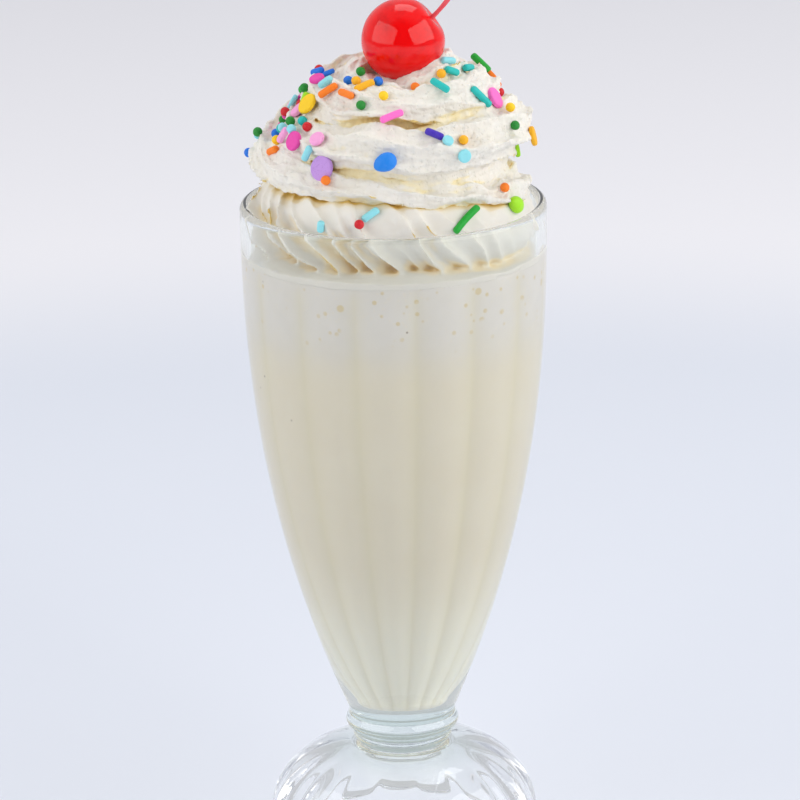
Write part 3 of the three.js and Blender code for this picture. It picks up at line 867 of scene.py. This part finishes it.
def smoothed(values, faces, rounds, share=0.5):
    """Values at the points, each drawn towards the mean of its neighbours', a number of times."""
    flat = values.reshape(len(values), -1).copy()
    pairs = np.concatenate([faces[:, [i, (i + 1) % 4]] for i in range(4)])
    count = np.bincount(pairs.ravel(), minlength=len(flat))[:, None]
    for _ in range(rounds):
        total = np.zeros_like(flat)
        for column in range(flat.shape[1]):
            total[:, column] = (
                np.bincount(pairs[:, 0], flat[pairs[:, 1], column], len(flat))
                + np.bincount(pairs[:, 1], flat[pairs[:, 0], column], len(flat))
            )
        flat += share * (total / np.maximum(count, 1) - flat)
    return flat.reshape(values.shape)


def lumps(points, size, octaves=2):
    """Noise from about -1 to 1 at each point, in lumps of a size."""
    return np.array([noise.fractal(Vector(p), 1.0, 2.0, octaves) for p in np.asarray(points) / size])


def streaks(points, along, across, octaves=2):
    """Noise drawn out round the axis, as the nozzle drags the cream."""
    radius, turn = radius_and_turn(points)
    place = np.stack([turn * radius / along, radius / across, points[:, 2] / across], axis=1)
    return lumps(place, 1.0, octaves)


def inside_glass(points):
    """The points, kept from passing the glass's wall and lip by more than a hair."""
    radius, turn = radius_and_turn(points)
    z = points[:, 2]
    limit = cavity_radius(z) + INTO_WALL
    limit = limit + bowl_flute_depth(limit, z) * flute_lobe(turn)
    above = smoothstep(z, GLASS_HEIGHT - 0.6, GLASS_HEIGHT + 2.5)
    limit = limit + above * 8.0
    scale = np.minimum(1.0, limit / np.maximum(radius, 0.01))
    return points * np.stack([scale, scale, np.ones_like(scale)], axis=1)


def cherry_centre():
    return np.array([CHERRY_X, 0.0, RIM_LEVEL + CHERRY_HEIGHT])


def off_cherry(points):
    """The points, pushed out to just under the cherry's skin where they lie deeper in it."""
    away = points - cherry_centre()
    distance = np.linalg.norm(away, axis=1, keepdims=True)
    seat = CHERRY_RADIUS - OVERLAP
    pushed = cherry_centre() + away * (seat / np.maximum(distance, 0.01))
    return np.where(distance < seat, pushed, points)


def core(profile):
    return lathe([(r, RIM_LEVEL + h) for r, h in profile], 60)


def skirt():
    """A thin layer of melted cream that closes the gap between the foam and the pleats."""
    profile = [
        (0.0, FOAM_LEVEL - 1.0),
        *[(cavity_radius(z) + 0.5, z) for z in (FOAM_LEVEL - 1.0, FOAM_LEVEL, FOAM_LEVEL + 0.6)],
        (33.0, FOAM_LEVEL + 2.0),
        (0.0, FOAM_LEVEL + 5.0),
    ]
    points, faces = lathe(profile, 180)
    radius, turn = radius_and_turn(points)
    climb = smoothstep(points[:, 2], FOAM_LEVEL, FOAM_LEVEL + 1.5) * smoothstep(radius, 10.0, 34.0)
    points[:, 2] += climb * foam_top(turn)
    return points, faces


def worn(points, faces, depth):
    """The points, each moved out along its normal by a depth."""
    return points + normals_of(points, faces) * depth[:, None]


def make_pleats_skin():
    """The lowest tier's points and faces: silky pleats pressed against the glass."""
    points, faces = fused([core(PLEATS_CORE), skirt(), rope(PLEATED, smear)], PLEATS_CELL)
    points = smoothed(points, faces, PLEATS_SMOOTHING)
    folds = FOLDS_IN_GLASS + FOLDS_ABOVE * smoothstep(points[:, 2], RIM_LEVEL - 3, RIM_LEVEL + 3)
    points = worn(points, faces, folds * lumps(points, FOLD_SIZE))
    points = worn(points, faces, SILK_STREAKS * streaks(points, 5.0, 1.2))
    return inside_glass(points), faces


def make_swirl_skin():
    """The upper tiers' points and faces: torn and crumbling, with ledges that rise and sag."""
    points, faces = fused([core(SWIRL_CORE), rope(TORN)], SWIRL_CELL)
    ragged = TORN_LUMPS * lumps(points, 6.0) + TORN_STREAKS * streaks(points, 8.0, 1.7, 3)
    ragged = ragged + TORN_CRUMBS * lumps(points, 1.8, 3)
    points = worn(points, faces, ragged)
    points[:, 2] += SAG * lumps(points, SAG_SIZE) * smoothstep(points[:, 2], RIM_LEVEL, RIM_LEVEL + 8)
    return off_cherry(inside_glass(points)), faces


def hollows(points, normals, faces, tree, rays):
    """How shut in each point is, from 0 in the open to 1: the share of looks that cream blocks. It sets the
    cream's painted shade.
    """
    golden = math.pi * (3 - math.sqrt(5))
    level = 1 - 2 * (np.arange(rays) + 0.5) / rays
    side = np.sqrt(1 - level ** 2)
    turn = golden * np.arange(rays)
    sphere = np.stack([side * np.cos(turn), side * np.sin(turn), level], axis=1)
    blocked = np.zeros(len(points))
    starts = points + normals * 0.08
    for way in sphere:
        looks = normals + way * 0.97
        looks /= np.linalg.norm(looks, axis=1, keepdims=True)
        for i, (start, look) in enumerate(zip(starts.tolist(), looks.tolist())):
            distance = tree.ray_cast(start, look, LOOK_REACH)[3]
            if distance is not None:
                blocked[i] += 1 - 0.5 * distance / LOOK_REACH
    return np.clip(smoothed(blocked / rays, faces, 3), 0, 1)


def make_cream():
    """Both tiers' skins as pieces, and a tree of all their faces."""
    low, low_faces = make_pleats_skin()
    high, high_faces = make_swirl_skin()
    every_point = np.concatenate([low, high])
    every_face = np.concatenate([low_faces, high_faces + len(low)])
    tree = BVHTree.FromPolygons(every_point.tolist(), every_face.tolist())
    tiers = [
        ("whipped_cream_pleats", low, low_faces, cream_finish("silky_cream", **SILKY)),
        ("whipped_cream_swirl", high, high_faces, cream_finish("torn_cream", **RAGGED)),
    ]
    rays = 10
    for name, points, faces, finish in tiers:
        mesh = mesh_of(name, points, faces)
        # How shut in each point is sets where the cream's finish paints shade
        paint(mesh, "hollow", hollows(points, normals_of(points, faces), faces, tree, rays))
        piece(name, mesh, finish, "whipped_cream")
    return tree


# The sprinkles


def direction(azimuth, lift):
    return Vector(around(azimuth, math.cos(math.radians(lift)), math.sin(math.radians(lift))))


def strewn(taken):
    """The sprinkles that fall by chance, clear of those given: kind, azimuth, lift, length, heading, dye."""
    seed = FIRST_SEED

    def draw():
        nonlocal seed
        seed = (seed * DRAW_FACTOR + DRAW_STEP) % DRAW_RANGE
        return seed / DRAW_RANGE

    placed = [direction(azimuth, lift) for azimuth, lift in taken]
    dyes = sorted(CANDY)
    found = []
    while len(found) < STREWN:
        clustered = draw() < CLUSTER["share"]
        zone = CLUSTER if clustered else THIN
        across = draw() + draw() - 1 if clustered else draw()
        up = draw() + draw() - 1 if clustered else draw()
        pick = draw()
        kind = "ball" if pick < BALL_SHARE else "rod" if pick < ROD_SHARE else "disc"
        length = lerp(*STREWN_ROD, draw())
        heading = 180 * draw()
        azimuth = zone["azimuth"] + zone["width"] * across
        lift = zone["lift"] + zone["height"] * up
        towards = direction(azimuth, lift)
        if all(other.angle(towards) > math.radians(SPACING) for other in placed):
            placed.append(towards)
            dye = dyes[int(pick * DYE_PICKS) % len(dyes)]
            found.append((kind, azimuth, lift, length, heading, dye))
    return found


def ball_shape(size):
    """A sugar pearl, not quite round, or an egg where it is larger than a pearl."""
    made = bmesh.new()
    bmesh.ops.create_icosphere(made, subdivisions=3, radius=BALL_RADIUS)
    for vertex in made.verts:
        vertex.co *= 1 + 0.05 * noise.noise(vertex.co * 0.9 + Vector((3, 1, 2)))
    points = np.array([tuple(vertex.co) for vertex in made.verts])
    faces = [tuple(v.index for v in face.verts) for face in made.faces]
    made.free()
    if size > 1:
        points = points * (EGG_SHAPE * size)
        points[:, 0] *= 1 + 0.06 * points[:, 1]
    return points, faces


def rod_shape(length):
    """A sugar strand along Y with rounded ends and a slight bend."""
    half = length / 2
    round_end = 0.75 * ROD_RADIUS
    profile = [(0.0, -half)]
    profile += arc(ROD_RADIUS - round_end, round_end - half, round_end, round_end, -90, 0, 5)
    profile += [(ROD_RADIUS, y) for y in np.linspace(round_end - half, half - round_end, 6)[1:-1]]
    profile += arc(ROD_RADIUS - round_end, half - round_end, round_end, round_end, 0, 90, 5)
    profile += [(0.0, half)]
    points, faces = lathe(profile, 16)
    points = points[:, [0, 2, 1]]
    points[:, 0] += 0.012 * points[:, 1] ** 2
    return points, faces


def disc_shape(share):
    """A pressed round of sugar, flat on XY, with rounded edges."""
    radius, half = DISC_RADIUS * share, DISC_THICKNESS / 2
    edge = 0.8 * half
    profile = [(r, -half) for r in np.linspace(0, radius - edge, 5)[:-1]]
    profile += arc(radius - edge, edge - half, edge, edge, -90, 0, 4)
    profile += arc(radius - edge, half - edge, edge, edge, 0, 90, 4)
    profile += [(r, half) for r in np.linspace(radius - edge, 0, 5)[1:]]
    return lathe(profile, 36)


def set_down(shape, azimuth, lift, heading, sunk, tree):
    """A sprinkle's points, moved to where its line to the aim point meets the cream."""
    outwards = direction(azimuth, lift)
    aim = Vector((0, 0, RIM_LEVEL + AIM_HEIGHT))
    sideways = Vector(around(azimuth + 90, 1.0, 0.0))
    turn = math.radians(heading)
    along = outwards.cross(sideways) * math.cos(turn) + sideways * math.sin(turn)
    across = along.cross(outwards)
    half_width, half_length = np.abs(shape).max(axis=0)[:2]
    hits, normals = [], []
    for aside, ahead in PROBES:
        start = aim + outwards * RIM_RADIUS * 2 + across * aside * half_width + along * ahead * half_length
        hit, normal, _, _ = tree.ray_cast(start, -outwards)
        if hit is not None:
            hits.append(hit)
            normals.append(normal.normalized())
    normal = (sum(normals, Vector()) / len(normals) + outwards * 0.5).normalized()
    rises = [(hit - hits[0]).dot(normal) for hit in hits]
    seat = hits[0] + normal * min(MOST_RAISED, max(rises))
    along = (along - normal * along.dot(normal)).normalized()
    basis = np.array([along.cross(normal), along, normal])
    return shape @ basis + np.array(seat + normal * sunk)


def make_sprinkles(tree):
    """One piece for each kind, with each sprinkle's dye kept on its corners."""
    told = [("disc", az, lift, share, 0.0, dye) for az, lift, share, dye in DISCS]
    told += [("rod", *row) for row in RODS]
    told += [("ball", *row) for row in EGGS]
    told += [("ball", az, lift, 1.0, 0.0, dye) for az, lift, dye in BALLS]
    chance = strewn([(row[1], row[2]) for row in told])
    chance = [(k, az, lift, size if k == "rod" else 1.0, h, dye) for k, az, lift, size, h, dye in chance]
    shapes = {
        "ball": ball_shape,
        "rod": rod_shape,
        "disc": disc_shape,
    }
    for kind, plural, pitted in (("ball", "pearls", 0.0), ("rod", "strands", 0.0), ("disc", "rounds", 1.0)):
        points, faces, dyes = [], [], []
        for _, azimuth, lift, size, heading, dye in (row for row in told + chance if row[0] == kind):
            shape, shape_faces = shapes[kind](size)
            first = sum(len(p) for p in points)
            sunk = SUNK[kind] / size if kind == "ball" else SUNK[kind]
            points.append(set_down(shape, azimuth, lift, heading, sunk, tree))
            faces += [tuple(first + int(i) for i in face) for face in shape_faces]
            dyes += [(*from_screen(CANDY[dye]), 1.0)] * len(shape)
        mesh = mesh_of(f"sprinkle_{plural}", np.concatenate(points), faces)
        dye_layer = mesh.attributes.new("dye", "FLOAT_COLOR", "POINT")
        dye_layer.data.foreach_set("color", np.array(dyes, np.float32).ravel())
        piece(f"sprinkle_{plural}", mesh, candy_finish(f"sugar_{plural}", pitted), "whipped_cream")


# The cherry


def make_cherry():
    rows = 64
    polar = np.linspace(math.pi, 0, rows + 1)
    radius = CHERRY_RADIUS * (1 - CHERRY_DIMPLE * np.exp(-((polar / 0.35) ** 2)))
    points, faces = lathe(list(zip(radius * np.sin(polar), radius * np.cos(polar))), 96)
    points *= 1 + 0.012 * lumps(points, 9.0)[:, None]
    lean = np.array(Matrix.Rotation(math.radians(CHERRY_LEAN), 3, "Y"))
    points = points @ lean.T + cherry_centre()
    piece("cherry_candied", mesh_of("cherry_candied", points, faces), cherry_finish(), "cherry")


def make_stalk():
    lean, rise = math.radians(CHERRY_LEAN), math.radians(STALK_RISE)
    seat = CHERRY_RADIUS * (1 - CHERRY_DIMPLE) - OVERLAP
    out = np.array([math.sin(lean), 0.0, math.cos(lean)])
    start = cherry_centre() + out * seat
    knee = start + out * STALK_BEND / 2
    end = knee + np.array([math.sin(rise), 0.0, math.cos(rise)]) * (STALK_LENGTH - STALK_BEND / 2)
    rings = []
    turn = np.arange(24) * 2 * math.pi / 24
    for share in np.linspace(0, 1, 61):
        centre = (1 - share) ** 2 * start + 2 * share * (1 - share) * knee + share ** 2 * end
        along = (1 - share) * (knee - start) + share * (end - knee)
        along /= np.linalg.norm(along)
        across = np.array([along[2], 0.0, -along[0]])
        radius = lerp(STALK_RADIUS, STALK_TIP, smoothstep(share, 0.85, 1.0))
        radius *= math.sqrt(1 - max(0.0, (share - 0.98) / 0.0205) ** 2)
        radius *= 1 + 0.06 * math.sin(23 * share)
        rings.append(centre + radius * (np.outer(np.cos(turn), across) + np.outer(np.sin(turn), (0, 1, 0))))
    points, faces = closed_grid(rings)
    piece("cherry_stem", mesh_of("cherry_stem", points, faces), stalk_finish(), "cherry_stalk")


# The studio


def make_floor():
    mesh = bpy.data.meshes.new("table")
    edge = TABLE_SIDE / 2
    corners = [(-edge, -edge, 0), (edge, -edge, 0), (edge, edge, 0), (-edge, edge, 0)]
    mesh.from_pydata(corners, [], [(0, 1, 2, 3)])
    mesh.materials.append(floor_finish())
    table = bpy.data.objects.new("table", mesh)
    bpy.context.scene.collection.objects.link(table)


def softbox(name, azimuth, elevation, distance, width, height, power, tint):
    """A large soft lamp that looks at the middle of the glass."""
    lamp = bpy.data.lights.new(name, "AREA")
    lamp.shape = "RECTANGLE"
    lamp.size, lamp.size_y = width, height
    lamp.energy = power
    lamp.color = tint
    obj = bpy.data.objects.new(name, lamp)
    bpy.context.scene.collection.objects.link(obj)
    turn, rise = math.radians(azimuth), math.radians(elevation)
    away = Vector((math.sin(turn) * math.cos(rise), -math.cos(turn) * math.cos(rise), math.sin(rise)))
    obj.location = LAMPS_AIM + away * distance
    obj.rotation_mode = "QUATERNION"
    obj.rotation_quaternion = away.to_track_quat("Z", "Y")


def make_world():
    world = bpy.data.worlds.new("studio")
    bpy.context.scene.world = world
    world.use_nodes = True
    tree = world.node_tree
    tree.nodes.clear()
    way = node(tree, "ShaderNodeTexCoord", output="Generated")
    rise = math.radians(VIEW_ELEVATION)
    room = (0.0, -math.cos(rise), math.sin(rise))
    facing = node(tree, "ShaderNodeVectorMath", {"operation": "DOT_PRODUCT"}, {0: way, 1: room}, "Value")
    sockets = {"Value": facing, "From Min": ROOM_EDGE, "From Max": ROOM_MIDDLE}
    share = node(tree, "ShaderNodeMapRange", {"interpolation_type": "SMOOTHSTEP"}, sockets)
    colour = node(tree, "ShaderNodeMix", {"data_type": "RGBA"}, {0: share, 6: WALLS, 7: DARK_ROOM}, 2)
    background = node(tree, "ShaderNodeBackground", None, {"Color": colour, "Strength": 1.0})
    node(tree, "ShaderNodeOutputWorld", None, {"Surface": background})


def make_camera():
    data = bpy.data.cameras.new("view")
    data.lens = LENS
    data.sensor_width = SENSOR
    data.clip_start, data.clip_end = 0.05, 20.0
    camera = bpy.data.objects.new("view", data)
    bpy.context.scene.collection.objects.link(camera)
    rise, roll = math.radians(VIEW_ELEVATION), math.radians(VIEW_ROLL)
    back = Vector((0.0, -math.cos(rise), math.sin(rise)))
    up = Vector((0.0, math.sin(rise), math.cos(rise)))
    right = Vector((1.0, 0.0, 0.0))
    rolled_right = right * math.cos(roll) + up * math.sin(roll)
    rolled_up = up * math.cos(roll) - right * math.sin(roll)
    turned = Matrix((rolled_right, rolled_up, back)).transposed().to_4x4()
    camera.matrix_world = Matrix.Translation(VIEW_TARGET + back * VIEW_DISTANCE) @ turned
    bpy.context.scene.camera = camera


def set_tones():
    scene = bpy.context.scene
    scene.view_settings.view_transform = "Standard"
    scene.view_settings.look = "None"
    scene.cycles.use_denoising = True
    scene.cycles.max_bounces = 20
    scene.cycles.glossy_bounces = 14
    scene.cycles.transmission_bounces = 20


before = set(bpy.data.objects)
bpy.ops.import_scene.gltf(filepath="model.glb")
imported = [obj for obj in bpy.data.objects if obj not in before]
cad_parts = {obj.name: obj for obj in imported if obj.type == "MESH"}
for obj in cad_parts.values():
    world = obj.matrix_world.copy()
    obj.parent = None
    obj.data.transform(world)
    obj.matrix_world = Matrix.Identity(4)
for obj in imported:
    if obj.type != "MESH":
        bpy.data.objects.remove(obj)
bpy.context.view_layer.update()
make_camera()
make_world()
make_floor()
for lamp_name, lamp_row in LAMPS.items():
    softbox(lamp_name, *lamp_row)
set_tones()
drink = drink_finish("vanilla_milkshake")
make_drink(drink)
make_foam(drink)
cream_tree = make_cream()
make_sprinkles(cream_tree)
make_cherry()
make_stalk()
make_glass()
